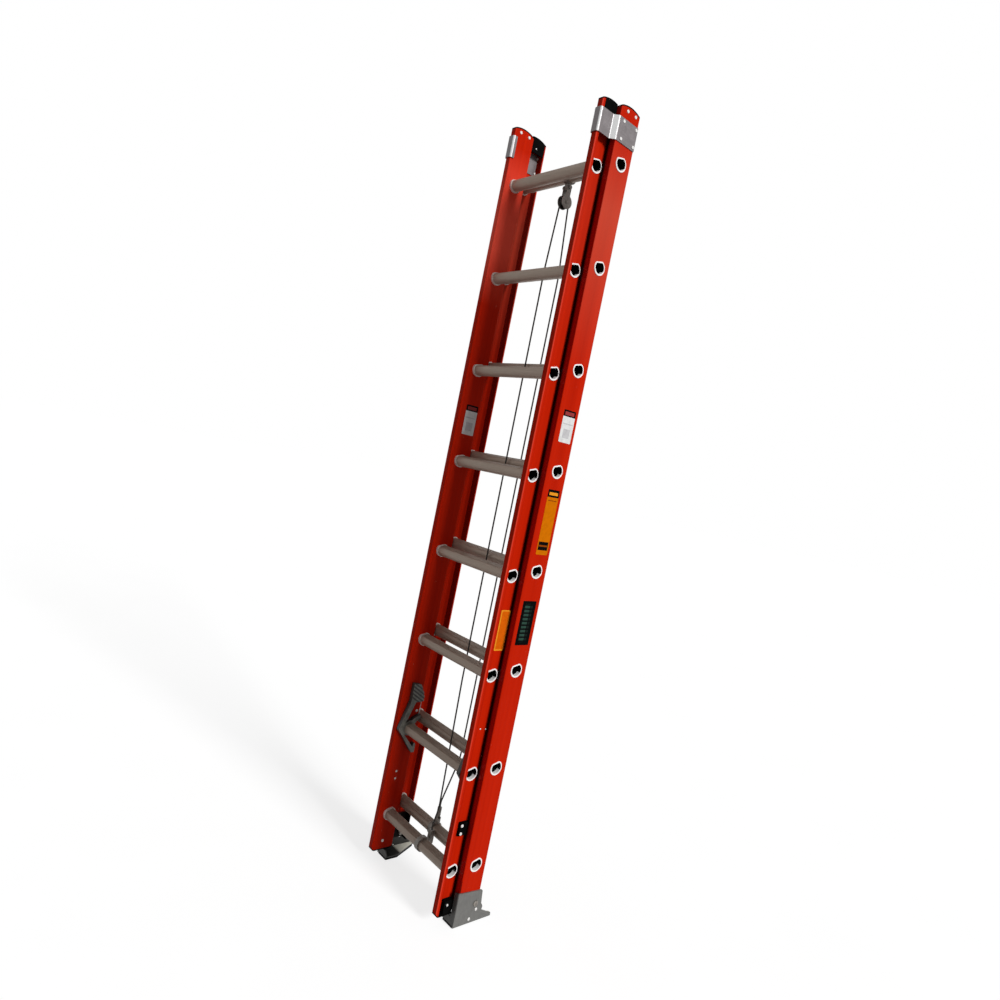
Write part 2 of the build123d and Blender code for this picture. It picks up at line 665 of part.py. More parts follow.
front_tangent = tangent_point(front_leg_y, leg_high, -1)
back_tangent = tangent_point(back_leg_y, leg_high, 1)
socket_y = base_y + CLAMP_SOCKET_BACK
socket_top = base_rung_height + CLAMP_SOCKET_HIGH
socket_floor = socket_top - CLAMP_SOCKET_DEPTH
haul_radii = [ROPE_LEG_BEND, ROPE_LOW_BEND, ROPE_END_BEND]
hoist_radii = [ROPE_LEG_BEND, ROPE_LOW_BEND, ROPE_LOW_BEND, ROPE_END_BEND]
anchor_top = fly_rung_height + ANCHOR_TAB_HEIGHT


def rope_haul_path():
    turn = ThreePointArc((PULLEY_X, *front_tangent), (PULLEY_X, base_y, sheave_z + SHEAVE_PITCH_RADIUS),
                         (PULLEY_X, *back_tangent))
    points = [(PULLEY_X, *back_tangent), (PULLEY_X, back_leg_y, leg_high), (PULLEY_X, back_leg_y, leg_low),
              (CLAMP_X, socket_y, socket_top + ROPE_END_BEND / 2), (CLAMP_X, socket_y, socket_floor)]
    return turn + FilletPolyline(*points, radius=haul_radii)


def rope_hoist_path():
    points = [(PULLEY_X, *front_tangent), (PULLEY_X, front_leg_y, leg_high),
              (ROPE_MID_X, front_leg_y, fly_rung_height + ROPE_MID_HEIGHT),
              (ROPE_LOW_X, fly_y + ROPE_LOW_Y, fly_rung_height + ROPE_LOW_HEIGHT),
              (ANCHOR_X, fly_y + ANCHOR_ROPE_Y, anchor_top + ROPE_END_BEND / 2),
              (ANCHOR_X, fly_y + ANCHOR_ROPE_Y, anchor_top - ANCHOR_ROPE_DEPTH)]
    return FilletPolyline(*points, radius=hoist_radii)


def rope_clamp():
    """A strap round the base section's bottom rung with a socket for the rope's end."""
    z = base_rung_height
    low = z + CLAMP_SOCKET_LOW
    half = CLAMP_NECK / 2
    x0 = CLAMP_X - CLAMP_WIDTH / 2
    x1 = CLAMP_X + CLAMP_WIDTH / 2
    body = rod(CLAMP_STRAP_RADIUS, x0, x1, base_y, z)
    body += block(CLAMP_X - half, CLAMP_X + half, socket_y - half, socket_y + half, z, low + CLAMP_NECK)
    height = socket_top - low
    body += Pos(CLAMP_X, socket_y, low + height / 2) * Cylinder(CLAMP_SOCKET_RADIUS, height)
    body -= d_bar(RUNG_FIT, x0 - 1, x1 + 1, base_y, z)
    body -= rod(CLAMP_EYE_RADIUS, x0 - 2, x1 + 2, socket_y, z + CLAMP_EYE_HEIGHT)
    hole = Cylinder(ROPE_RADIUS + ROPE_FIT, 2 * CLAMP_SOCKET_DEPTH)
    return body - Pos(CLAMP_X, socket_y, socket_top) * hole


def rope_anchor():
    """A strap round the fly section's bottom rung with a tab that takes the rope's end."""
    z = fly_rung_height
    x0 = ANCHOR_X - PULLEY_WIDTH / 2
    x1 = ANCHOR_X + PULLEY_WIDTH / 2
    body = rod(STRAP_RADIUS, x0, x1, fly_y, z)
    front = fly_y + ANCHOR_TAB_FRONT
    back = fly_y + ANCHOR_TAB_BACK
    tab = [(fly_y, z + ANCHOR_TAB_LOW), (back, z + ANCHOR_TAB_LOW), (back, anchor_top), (front, anchor_top),
           (front, z + ANCHOR_TAB_FRONT / 2), (fly_y, z + ANCHOR_TAB_FRONT / 2)]
    body += side_plate(tab, [0, 4, 2, 2, 4, 0], x0, x1)
    body -= d_bar(RUNG_FIT, x0 - 1, x1 + 1, fly_y, z)
    hole = Cylinder(ROPE_RADIUS + ROPE_FIT, 2 * ANCHOR_ROPE_DEPTH)
    return body - Pos(ANCHOR_X, fly_y + ANCHOR_ROPE_Y, anchor_top) * hole


# Rung locks on the fly section
lock_out = fly_web_in - LOCK_COLLAR_THICK - LOCK_GAP
lock_in = lock_out - LOCK_WIDTH
spring_x = (lock_in + lock_out) / 2


def lock_piece(points):
    return side_plate(moved(points, fly_y, lock_z), [LOCK_EDGE] * len(points), lock_in, lock_out)


def lock_spring(radius):
    """A straight wire between the lock's finger and its lever."""
    top, foot = moved((SPRING_TOP, SPRING_FOOT), fly_y, lock_z)
    return tube(Line((spring_x, *top), (spring_x, *foot)), radius)


def rung_lock():
    """A cast hook that turns on a fly rung, its finger ribbed for the hand."""
    body = rod(LOCK_HUB_RADIUS, lock_in, lock_out, fly_y, lock_z)
    for points in (LOCK_UPPER_ARM, LOCK_FINGER, LOCK_LOWER_ARM, LOCK_HEEL, LOCK_LEVER):
        body += lock_piece(points)
    body -= rod(RUNG_RADIUS + LOCK_BORE_GAP, lock_in - 1, lock_out + 1, fly_y, lock_z)
    finger_y = fly_y + (LOCK_FINGER[0][0] + LOCK_FINGER[-1][0]) / 2
    for i in range(LOCK_RIB_COUNT):
        rise = LOCK_RIB_LOW + i * (LOCK_RIB_HIGH - LOCK_RIB_LOW) / (LOCK_RIB_COUNT - 1)
        groove = Box(2 * LOCK_RIB_DEPTH, LOCK_HUB_RADIUS * 4, LOCK_RIB_WIDTH)
        body -= Pos(lock_in, finger_y, lock_z + rise) * Rot(LOCK_RIB_SLOPE, 0, 0) * groove
    return body - lock_spring(SPRING_WIRE_RADIUS + SPRING_HOLE_FIT)


def lock_retainer():
    edge = lock_in - RETAINER_GAP
    return collar(RETAINER_WALL, edge - RETAINER_THICK, edge, fly_y, lock_z)


# Shoes on the base section
shoe_in = base_web_out + SHOE_GAP
shoe_out = shoe_in + SHOE_PLATE
shoe_wall_back = base_front - SHOE_FRONT_GAP
shoe_wall_front = shoe_wall_back - SHOE_PLATE
sole_top = PAD_THICK + SHOE_SOLE
spur_y = base_back + SHOE_SPUR
flare_x = base_web_out - SHOE_FLARE_IN


def shoe():
    """A folded plate: outer cheek, front wall that flares inward, sole and rear spur."""
    back = [(base_back + y, z) for y, z in SHOE_BACK_OUTLINE]
    cheek = [(shoe_wall_front, SHOE_PLATE_LOW), (shoe_wall_front, SHOE_TOP_FRONT), *back,
             (spur_y, SHOE_SPUR_HEIGHT), (spur_y, SHOE_PLATE_LOW)]
    body = side_plate(cheek, [2, 3, 6, 5, 4, 3, 1.5, 1.5], shoe_in, shoe_out)
    wall_x = base_web_out - SHOE_WALL_IN
    wall = [(flare_x, PAD_THICK), (flare_x, SHOE_FLARE_TOP - 10), (flare_x + 12, SHOE_FLARE_TOP),
            (wall_x, SHOE_FLARE_TOP), (wall_x, SHOE_TOP_FRONT - 4), (shoe_out, SHOE_TOP_FRONT),
            (shoe_out, SHOE_PLATE_LOW), (shoe_in, SHOE_PLATE_LOW), (shoe_in, PAD_THICK)]
    face = outline(wall, [0, 3, 4, 3, 3, 0, 0, 0, 0])
    body += Pos(0, shoe_wall_back, 0) * extrude(Plane.XZ * face, SHOE_PLATE)
    taper = base_front + SHOE_TAPER_START
    sole = [(flare_x, shoe_wall_front), (shoe_out, shoe_wall_front), (shoe_out, spur_y),
            (shoe_out - SHOE_SPUR_WIDTH, spur_y), (flare_x, taper)]
    body += column(sole, [2, 0, 1.5, 2, 12], PAD_THICK, sole_top)
    body -= rod(SHOE_BOLT_RADIUS + PIN_FIT, shoe_in - 1, shoe_out + 1, *shoe_pivot)
    for y, z in shoe_rivets():
        body -= rivet_hole(shoe_in - 1, shoe_out + 1, y, z)
    corner = [e for e in body.edges().filter_by(Axis.Z)
              if abs(e.center().X - shoe_out) < 0.01 and abs(e.center().Y - shoe_wall_front) < 0.01]
    return fillet(corner, SHOE_CORNER)


def shoe_rivets():
    return [(base_y + y, z) for y, z in SHOE_RIVETS]


def shoe_pad():
    """The rubber tread under the sole."""
    taper = base_front + SHOE_TAPER_START
    edge = shoe_in - SHOE_GAP
    inset = PAD_INSET
    end = spur_y - 6 * inset
    points = [(flare_x + inset, shoe_wall_front + inset), (edge, shoe_wall_front + inset), (edge, end),
              (edge - SHOE_SPUR_WIDTH, end), (flare_x + inset, taper)]
    return column(points, [3, 3, 2, 3, 12], 0, PAD_THICK)


def shoe_bolt():
    head = shoe_out + SHOE_GAP
    bolt = rod(SHOE_BOLT_RADIUS, base_web_in - SHOE_NUT_HEIGHT - 2, head + 1, *shoe_pivot)
    cap = rod(SHOE_BOLT_HEAD, head, head + SHOE_BOLT_HEAD_HEIGHT, *shoe_pivot)
    bolt += fillet(cap.edges().group_by(Axis.X)[-1], 2.0)
    bore = SHOE_BOLT_RADIUS + PIN_FIT
    nut = hexagon(SHOE_NUT, base_web_in - SHOE_NUT_HEIGHT, base_web_in, *shoe_pivot, bore)
    return [bolt, nut]


def save(name, shapes):
    shape = shapes if not isinstance(shapes, list) else Compound(children=shapes)
    export_step(shape, f"parts/{name}.step")


def save_pair(name, shape):
    """A right-hand piece and its mirror image, one file each."""
    save(f"{name}_right", shape)
    save(f"{name}_left", mirror(shape, Plane.YZ))


save_pair("base_rail", base_rail())
save_pair("base_top_cap", base_top_cap())
save_pair("guide_bracket", guide_bracket())
save_pair("backing_plate", backing_plate())
save_pair("fly_rail", fly_rail())
save_pair("fly_top_cap", fly_top_cap())
save_pair("fly_bottom_cap", fly_bottom_cap())
save_pair("fly_guide_block", fly_guide_block())
for i, z in enumerate(rung_heights(base_rung_height)):
    save(f"base_rung_{i + 1}", rung(base_web_out, base_y, z))
for i, z in enumerate(rung_heights(fly_rung_height)):
    save(f"fly_rung_{i + 1}", rung(fly_web_out, fly_y, z))
save("base_rung_collars", collars(base_web_in, base_y, base_rung_height, None))
save("fly_rung_collars", collars(fly_web_in, fly_y, fly_rung_height, LOCK_RUNG))
save("base_rivets", base_rivets())
save("fly_rivets", fly_rivets())
save("pulley_clamp", pulley_clamp())
save("pulley_cheeks", pulley_cheeks())
save("pulley_bolt", pulley_bolt())
save("sheave_pin", sheave_pin())
save("sheave", sheave())

for name, path, bends in (("rope_haul_leg", rope_haul_path(), [SHEAVE_PITCH_RADIUS] + haul_radii),
                          ("rope_hoist_leg", rope_hoist_path(), hoist_radii)):
    rope = tube(path, ROPE_RADIUS)
    section = math.pi * ROPE_RADIUS**2
    print(name, "bend radii", bends, "length", round(path.length, 1),
          "volume over section x length", round(rope.volume / (section * path.length), 4))
    save(name, rope)

save("rope_clamp", rope_clamp())
save("rope_anchor", rope_anchor())
save_pair("rung_lock", rung_lock())
save_pair("lock_spring", lock_spring(SPRING_WIRE_RADIUS))
save("lock_retainers", both(lock_retainer()))
save_pair("shoe", shoe())
save_pair("shoe_pad", shoe_pad())
shoe_rivet = rivet(SHOE_PLATE, False)
save_pair("shoe_rivets", [Pos(shoe_out, y, z) * shoe_rivet for y, z in shoe_rivets()])
save("shoe_bolts", [piece for part in shoe_bolt() for piece in both(part)])
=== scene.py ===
import json
import math
import bmesh
import bpy
from mathutils import Euler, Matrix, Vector


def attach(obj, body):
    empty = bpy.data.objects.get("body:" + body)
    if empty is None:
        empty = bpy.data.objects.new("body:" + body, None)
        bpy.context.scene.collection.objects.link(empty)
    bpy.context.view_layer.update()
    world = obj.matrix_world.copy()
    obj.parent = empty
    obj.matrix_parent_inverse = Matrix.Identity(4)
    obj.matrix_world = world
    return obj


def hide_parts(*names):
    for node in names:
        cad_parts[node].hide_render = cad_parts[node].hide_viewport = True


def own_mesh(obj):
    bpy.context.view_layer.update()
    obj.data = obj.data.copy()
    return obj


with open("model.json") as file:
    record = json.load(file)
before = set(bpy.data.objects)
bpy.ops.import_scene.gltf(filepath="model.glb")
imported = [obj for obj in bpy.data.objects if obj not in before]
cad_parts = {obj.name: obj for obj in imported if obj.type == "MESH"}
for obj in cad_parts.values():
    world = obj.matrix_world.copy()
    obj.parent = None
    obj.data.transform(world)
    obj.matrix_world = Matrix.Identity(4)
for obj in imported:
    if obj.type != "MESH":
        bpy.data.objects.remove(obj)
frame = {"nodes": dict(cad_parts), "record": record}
nodes = frame["nodes"]
scene = bpy.context.scene
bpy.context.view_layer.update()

# Sizes of the solids that the looks refer to, in metres. FLY_Y and FLY_Z are the place of the fly
# section's bottom rung, BASE_Y and BASE_Z that of the base section's.
RUNG_PITCH = 0.3048
RUNG_BORE = 0.0186
RUNG_END = 0.002
TREAD_INSIDE = 0.0141
TREAD_TILT = math.radians(15.0)
FLY_Y = -0.06075
FLY_Z = 0.166
FLY_WEB_IN = 0.1755
FLY_WEB_OUT = 0.180
BASE_Y = 0.00325
BASE_Z = 0.1905
BASE_FRONT = -0.03875
BASE_TIP = 0.1845
BASE_WEB_OUT = 0.214
LOCK_FACE = 0.158
SHOE_INSIDE = 0.2145
ROPE_SPLIT_Z = 0.340
ROPE_SPLIT_GAP = 0.0003
SAME_POINT = 1e-6

# Panels, in metres; the blocks and the frame of the panel with rows are shares of a row and of its height
PANEL_CORNER = 0.003
PANEL_ARC_STEPS = 4
STAND_OFF = 0.0003
ROWS = 11.0
ROW_BLOCK = (0.2, 0.8)
ROWS_FRAME = (0.07, 0.93)

# Rivet heads, in metres; a ring is its share of the head's radius and of its height
STUD_SIDES = 16
STUD_RADIUS = 0.0026
STUD_HEIGHT = 0.0012
STUD_RINGS = ((1.0, 0.0), (0.92, 0.45), (0.65, 0.8), (0.3, 0.97))

# Where painted light and shade set in and where they are full, and where the lower rungs grow darker, in
# metres
# Painted light and sheen below the rails' tops, rising and fading
TOP_LIGHT_RISE = (1.7, 2.2)
LEFT_TOP_LIGHT_RISE = (1.90, 2.08)
TOP_LIGHT_FADE = (2.42, 2.18)
# Painted shade on the base rails: in the gap by the fly, in the channel's corner and at the foot
GAP_SHADE = (0.1985, 0.1905)
CORNER_SHADE = (0.018, 0.030)
FOOT_SHADE = (0.150, 0.135)
# Painted shade along the floor of the fly's channel, by its lip and by the guide
LIP_SHADE = (-0.0735, -0.0795)
GUIDE_SHADE = (-0.0455, -0.0375)
# The rungs grow darker towards the floor
LOW_RUNG_DARKENING = (1.0, 0.5)
# Painted light on the rear of a shoe's sole
LIT_SOLE_SPAN = (0.012, 0.022)

# The lit floor at a rung's mouth, and how far a mark reaches past a face or stays off an edge, in metres
BORE_LIT_DEPTH = 0.013
BORE_LIT_BELOW = -0.007
SKIN = 0.0005
TIP_EDGE = 0.001
END_EDGE = 0.0002

# Shares of a surface's own colour that blotches, scuffs, painted shade and the darkening of the lower rungs
# take
BLOTCH_SHARE = 0.18
SCUFF_SHARE = 0.6
CORNER_SHADE_SHARE = 0.5
LIP_SHADE_SHARE = 0.6
GUIDE_SHADE_SHARE = 0.85
SHOE_FRONT_SHADE_SHARE = 0.7
LOW_RUNG_SHARE = 0.35

# Parts of the direction that a surface looks in, where painted highlights, light and shade set in and where
# they are full
BACKWARD = 0.5
CORNER_HIGHLIGHT_TURN = (-0.10, -0.40)
BEND_HIGHLIGHT_TURN = (0.28, 0.46)
SHOE_FRONT_SHADE_TURN = (-0.3, -0.8)
SOLE_LIT_TURN = (0.4, 0.8)

# Grain of the surfaces: waves per metre along X, Y and Z, octaves and roughness
RAIL_GRAIN = ((900.0, 900.0, 90.0), 2.0, 0.55)
PLASTIC_GRAIN = ((1500.0, 1500.0, 1500.0), 2.0, 0.55)
CAST_PEBBLES = ((420.0, 420.0, 420.0), 4.0, 0.6)
ROPE_FUZZ = ((700.0, 700.0, 160.0), 3.0, 0.55)

# The rope's braid: its turn in radians per metre, and the limits of the weave's contrast
BRAID_TURN = 520.0
BRAID_CONTRAST = (-0.8, 0.8)

# Larger marks, which also have the two limits that their contrast is stretched between; each metal
# has waves of its own
DIE_LINES = ((140.0, 140.0, 0.9), 4.0, 0.55, 0.3, 0.7)
DIE_BANDS = ((34.0, 34.0, 0.35), 2.0, 0.55, 0.32, 0.68)
RAIL_BLOTCHES = ((16.0, 16.0, 7.0), 4.0, 0.55, 0.35, 0.75)
RAIL_SCUFFS = ((150.0, 150.0, 46.0), 3.0, 0.5, 0.74, 0.78)
METAL_GRAIN = (3.0, 0.55, 0.3, 0.7)
HANDLING_MARKS = ((45.0, 45.0, 45.0), 5.0, 0.65, 0.38, 0.72)
RUNG_LINES = ((6.0, 420.0, 420.0), 2.0, 0.55, 0.3, 0.7)
RUNG_WEAR = ((26.0, 60.0, 60.0), 5.0, 0.65, 0.35, 0.7)
PLASTIC_CLOUDS = ((40.0, 40.0, 40.0), 4.0, 0.55, 0.35, 0.7)
CAST_CLOUDS = ((60.0, 60.0, 60.0), 4.0, 0.55, 0.35, 0.7)
PANEL_WEAR = ((90.0, 90.0, 90.0), 5.0, 0.55, 0.4, 0.75)
FLOOR_GRAIN = ((3.0, 3.0, 3.0), 3.0, 0.55, 0.3, 0.7)

# Colours of the rails, as red, green and blue, among them those of their painted light and shade
LIGHT_RED = (0.61, 0.018, 0.002)
DARK_RED = (0.47, 0.011, 0.001)
# Painted light and sheen below the rails' tops
SHEEN_RED = (0.66, 0.12, 0.07)
LIT_PALE_RED = (0.97, 0.095, 0.055)
# Painted highlight on the fly rails' front corner
HIGHLIGHT_RED = (0.80, 0.055, 0.028)
SCUFFED_RED = (0.75, 0.24, 0.18)
# Painted shade: on the base rails' gap, channel corner and foot, and on the floor of the fly's channel
GAP_SHADE_RED = (0.44, 0.006, 0.002)
GAP_SHADOW_BLACK = (0.012, 0.0, 0.0)
CORNER_SHADE_RED = (0.05, 0.001, 0.001)
CHANNEL_SHADE_BLACK = (0.015, 0.0, 0.0)
FOOT_SHADE_BLACK = (0.004, 0.003, 0.003)

# Colours of the metal and the rope, among them those of painted light and shade
RUNG_DARK = (0.340, 0.264, 0.208)
RUNG_LIGHT = (0.485, 0.390, 0.320)
# Colour that the lower rungs grow darker towards
LOW_RUNG_DARK = (0.150, 0.108, 0.082)
# Bright rolled rung ends, also used as painted light on a bore's floor, and the painted shade inside a bore
BRIGHT_END_AND_BORE_LIGHT = (0.95, 0.94, 0.93)
BORE_SHADE = (0.006, 0.006, 0.006)
# Painted highlight on the brackets' bends
BEND_HIGHLIGHT_GREY = (0.72, 0.72, 0.72)
# Painted shade on the shoes, and painted light on the rear of their soles
SHOE_FRONT_SHADE = (0.010, 0.009, 0.008)
SHOE_INSIDE_SHADE = (0.005, 0.005, 0.004)
LIT_SOLE = (0.62, 0.61, 0.52)
# The lock's faces, and the painted shade in its grooves and on its sides
CAST_FACE = ((0.095, 0.093, 0.080), (0.190, 0.186, 0.162))
CAST_HOLLOW_SHADE = ((0.014, 0.013, 0.012), (0.030, 0.028, 0.025))
ROPE_TONES = ((0.012, 0.010, 0.009), (0.090, 0.079, 0.070))

# Colours of the panels and of the white surroundings
WHITE = (0.80, 0.80, 0.79)
PALE_GREY = (0.60, 0.59, 0.60)
AMBER = (0.67, 0.172, 0.001)
LIGHT_AMBER = (0.90, 0.34, 0.02)
DEEP_ORANGE = (0.74, 0.13, 0.003)
BROWN = (0.30, 0.06, 0.003)
DULL_RED = (0.34, 0.05, 0.05)
BLACK = (0.003, 0.003, 0.003)
DARK_GREEN = (0.030, 0.070, 0.052)
BLACK_GREEN = (0.010, 0.017, 0.014)
FADED = (0.82, 0.82, 0.82)
PURE_WHITE = (1.0, 1.0, 1.0)

# Floor, light and camera. The sun lamp comes from the ladder's right, so the right-hand rails
# shade the left-hand ones, and it lights the floor evenly.
SUN_RISE = math.radians(30.0)
SUN_TURN = math.radians(2.0)
SUN_SPREAD = math.radians(16.0)
SUN_STRENGTH = 2.7
FILL = 0.24
FLOOR_REACH = 40
FLOOR_DROP = 0.0003
FLOOR_TONES = (0.35, 0.36)
CAMERA_PLACE = (1.67850, -1.50789, 1.37770)
CAMERA_TURN = (1.529490, -0.200794, 0.849141)
CAMERA_LENS = 25.382
SENSOR_WIDTH = 36.0


def tree_of(name):
    """A new material with a Principled shader; gives the material, its node tree and the shader."""
    mat = bpy.data.materials.new(name)
    mat.use_nodes = True
    tree = mat.node_tree
    return mat, tree, tree.nodes["Principled BSDF"]


def value(socket, content):
    """Sets a socket to a constant, or links it to another socket; a colour is red, green and blue."""
    if isinstance(content, bpy.types.NodeSocket):
        socket.node.id_data.links.new(content, socket)
    elif socket.type == "RGBA":
        socket.default_value = (*content, 1.0)
    else:
        socket.default_value = content


def node(tree, kind, inputs=None, **settings):
    """A new node with its settings and inputs."""
    made = tree.nodes.new(kind)
    for key, content in settings.items():
        setattr(made, key, content)
    for key, content in (inputs or {}).items():
        value(made.inputs[key], content)
    return made


def place(tree):
    """The object's own coordinates, in metres, which ride with it."""
    return node(tree, "ShaderNodeTexCoord").outputs["Object"]


def split(tree, vector):
    """A vector's X, Y and Z, each under its letter."""
    return node(tree, "ShaderNodeSeparateXYZ", {0: vector}).outputs


def facing(tree):
    """The direction that a surface looks in, along the object's own axes."""
    return split(tree, node(tree, "ShaderNodeTexCoord").outputs["Normal"])


def math_node(tree, operation, a, b=0.0, c=0.0):
    """One step of arithmetic."""
    return node(tree, "ShaderNodeMath", {0: a, 1: b, 2: c}, operation=operation).outputs[0]


def product(tree, first, *others):
    """Factors multiplied together."""
    for other in others:
        first = math_node(tree, "MULTIPLY", first, other)
    return first


def weigh(tree, first, share, second):
    """Two factors added together, the first by its share and the second by the rest."""
    return math_node(tree, "MULTIPLY_ADD", first, share, product(tree, second, 1.0 - share))


def grow(tree, factor, by, start):
    """A value that grows from its start with a factor."""
    return math_node(tree, "MULTIPLY_ADD", factor, by, start)


def greater(tree, a, b):
    """The greater of two factors."""
    return math_node(tree, "MAXIMUM", a, b)


def absolute(tree, factor):
    """A factor without its sign."""
    return math_node(tree, "ABSOLUTE", factor)


def inverse(tree, factor):
    """What a factor lacks to 1."""
    return math_node(tree, "SUBTRACT", 1.0, factor)


def over(tree, factor, limit):
    """1 where a factor is more than a limit, else 0."""
    return math_node(tree, "GREATER_THAN", factor, limit)


def under(tree, factor, limit):
    """1 where a factor is less than a limit, else 0."""
    return math_node(tree, "LESS_THAN", factor, limit)


def within(tree, factor, low, high):
    """1 where a factor lies between two limits, else 0."""
    return product(tree, over(tree, factor, low), under(tree, factor, high))


def spread(tree, factor, low, high):
    """Stretches a factor so that low becomes 0 and high becomes 1."""
    inputs = {"Value": factor, "From Min": low, "From Max": high}
    return node(tree, "ShaderNodeMapRange", inputs, clamp=True).outputs["Result"]


def noise(tree, vector, stretch, detail, rough):
    """Noise whose grain is drawn out along the axes; stretch is waves per metre."""
    scaled = node(tree, "ShaderNodeVectorMath", {0: vector, 1: stretch}, operation="MULTIPLY")
    inputs = {"Vector": scaled.outputs[0], "Scale": 1.0, "Detail": detail, "Roughness": rough}
    return node(tree, "ShaderNodeTexNoise", inputs).outputs["Fac"]


def marks(tree, vector, stretch, detail, rough, low, high):
    """Noise with its contrast stretched between two limits."""
    return spread(tree, noise(tree, vector, stretch, detail, rough), low, high)


def mix(tree, factor, a, b, blend="MIX"):
    """One colour turned into another by a factor."""
    made = node(tree, "ShaderNodeMix", {0: factor, 6: a, 7: b}, data_type="RGBA", blend_type=blend)
    return made.outputs[2]


def bump(tree, height, strength, distance):
    """Relief from a height between 0 and 1, over a distance in metres."""
    inputs = {"Height": height, "Strength": strength, "Distance": distance}
    return node(tree, "ShaderNodeBump", inputs).outputs["Normal"]


def base_rail_shade(tree, colour):
    """Painted shade on a base rail: black where the fly slides past, dark in the channel's corner, black on
    the inside of its foot.
    """
    xyz = split(tree, place(tree))
    across = absolute(tree, xyz["X"])
    front = under(tree, xyz["Y"], BASE_FRONT + SKIN)
    # Painted shade: the front face by the fly grows black towards the gap
    gap_shading = mix(tree, spread(tree, across, *GAP_SHADE), GAP_SHADE_RED, GAP_SHADOW_BLACK)
    colour = mix(tree, front, colour, gap_shading)
    not_behind = under(tree, facing(tree)["Y"], BACKWARD)
    inside = product(tree, under(tree, across, BASE_WEB_OUT - SKIN), not_behind, inverse(tree, front))
    # Painted shade in the channel's rear corner
    corner = product(tree, inside, over(tree, across, BASE_TIP + TIP_EDGE),
                     spread(tree, xyz["Y"], *CORNER_SHADE), CORNER_SHADE_SHARE)
    colour = mix(tree, corner, colour, CORNER_SHADE_RED)
    # Painted shade on the inner faces near the foot
    foot_shading = product(tree, inside, spread(tree, xyz["Z"], *FOOT_SHADE))
    return mix(tree, foot_shading, colour, FOOT_SHADE_BLACK)


def fly_channel_light_and_shade(tree, colour):
    """Painted highlight on the fly rail's outer front corner, painted shade along both edges of its
    channel's floor.
    """
    look = facing(tree)
    xyz = split(tree, place(tree))
    across = absolute(tree, xyz["X"])
    # Painted highlight along the outer front corner
    turn = product(tree, absolute(tree, look["X"]), look["Y"])
    wear_and_highlight = product(tree, spread(tree, turn, *CORNER_HIGHLIGHT_TURN), over(tree, across, FLY_WEB_OUT))
    colour = mix(tree, wear_and_highlight, colour, HIGHLIGHT_RED)
    # Painted shade along the channel's floor by the lip and by the guide
    channel_floor = within(tree, across, FLY_WEB_OUT - SKIN, FLY_WEB_OUT + SKIN)
    by_lip = product(tree, spread(tree, xyz["Y"], *LIP_SHADE), LIP_SHADE_SHARE)
    by_guide = product(tree, spread(tree, xyz["Y"], *GUIDE_SHADE), GUIDE_SHADE_SHARE)
    channel_shade = product(tree, channel_floor, greater(tree, by_lip, by_guide))
    return mix(tree, channel_shade, colour, CHANNEL_SHADE_BLACK)


def fibreglass(name, top_light, tint, rise, finish):
    """Red pultruded fibreglass: long die lines, faint mottling and a band of painted light and sheen below
    its top.
    """
    mat, tree, shader = tree_of(name)
    at = place(tree)
    height = split(tree, at)["Z"]
    lines = marks(tree, at, *DIE_LINES)
    bands = marks(tree, at, *DIE_BANDS)
    blotches = marks(tree, at, *RAIL_BLOTCHES)
    colour = mix(tree, weigh(tree, bands, 0.6, lines), DARK_RED, LIGHT_RED)
    colour = mix(tree, product(tree, blotches, BLOTCH_SHARE), colour, DARK_RED)
    # Painted light and sheen in a band below the rail's top
    lit_top = product(tree, spread(tree, height, *rise), spread(tree, height, *TOP_LIGHT_FADE), top_light)
    colour = mix(tree, lit_top, colour, tint)
    scuffs = product(tree, marks(tree, at, *RAIL_SCUFFS), SCUFF_SHARE)
    colour = mix(tree, scuffs, colour, SCUFFED_RED)
    value(shader.inputs["Base Color"], finish(tree, colour))
    value(shader.inputs["Roughness"], grow(tree, blotches, by=0.25, start=0.25))
    value(shader.inputs["Specular IOR Level"], 0.025)
    grain = noise(tree, at, *RAIL_GRAIN)
    value(shader.inputs["Normal"], bump(tree, grain, strength=0.10, distance=0.0004))
    return mat


def bend_highlights(tree, colour):
    """Painted highlight where folded sheet turns from one side of the ladder to another."""
    look = facing(tree)
    # Painted highlight on the bends
    turn = absolute(tree, product(tree, look["X"], look["Y"]))
    return mix(tree, spread(tree, turn, *BEND_HIGHLIGHT_TURN), colour, BEND_HIGHLIGHT_GREY)


def shoe_shade_and_light(tree, colour):
    """Painted shade on the front and the inside of a shoe; the rear of its sole is painted lit."""
    look = facing(tree)
    xyz = split(tree, place(tree))
    # Painted shade on faces that look to the front
    front = spread(tree, look["Y"], *SHOE_FRONT_SHADE_TURN)
    colour = mix(tree, product(tree, front, SHOE_FRONT_SHADE_SHARE), colour, SHOE_FRONT_SHADE)
    # Painted shade on the inside, with painted light on the rear of the sole
    inside = product(tree, under(tree, absolute(tree, xyz["X"]), SHOE_INSIDE), inverse(tree, front))
    lit_rear = product(tree, spread(tree, look["Z"], *SOLE_LIT_TURN), spread(tree, xyz["Y"], *LIT_SOLE_SPAN))
    return mix(tree, inside, colour, mix(tree, lit_rear, SHOE_INSIDE_SHADE, LIT_SOLE))


def metal(name, light, dark, rough, metallic, stretch, finish=None):
    """Worked metal: grain along its drawn direction, handling marks and a soft sheen."""
    mat, tree, shader = tree_of(name)
    at = place(tree)
    grain = marks(tree, at, stretch, *METAL_GRAIN)
    handled = marks(tree, at, *HANDLING_MARKS)
    colour = mix(tree, weigh(tree, grain, 0.45, handled), dark, light)
    value(shader.inputs["Base Color"], finish(tree, colour) if finish else colour)
    value(shader.inputs["Metallic"], metallic)
    value(shader.inputs["Roughness"], grow(tree, handled, by=0.16, start=rough))
    value(shader.inputs["Normal"], bump(tree, grain, strength=0.08, distance=0.0006))
    return mat


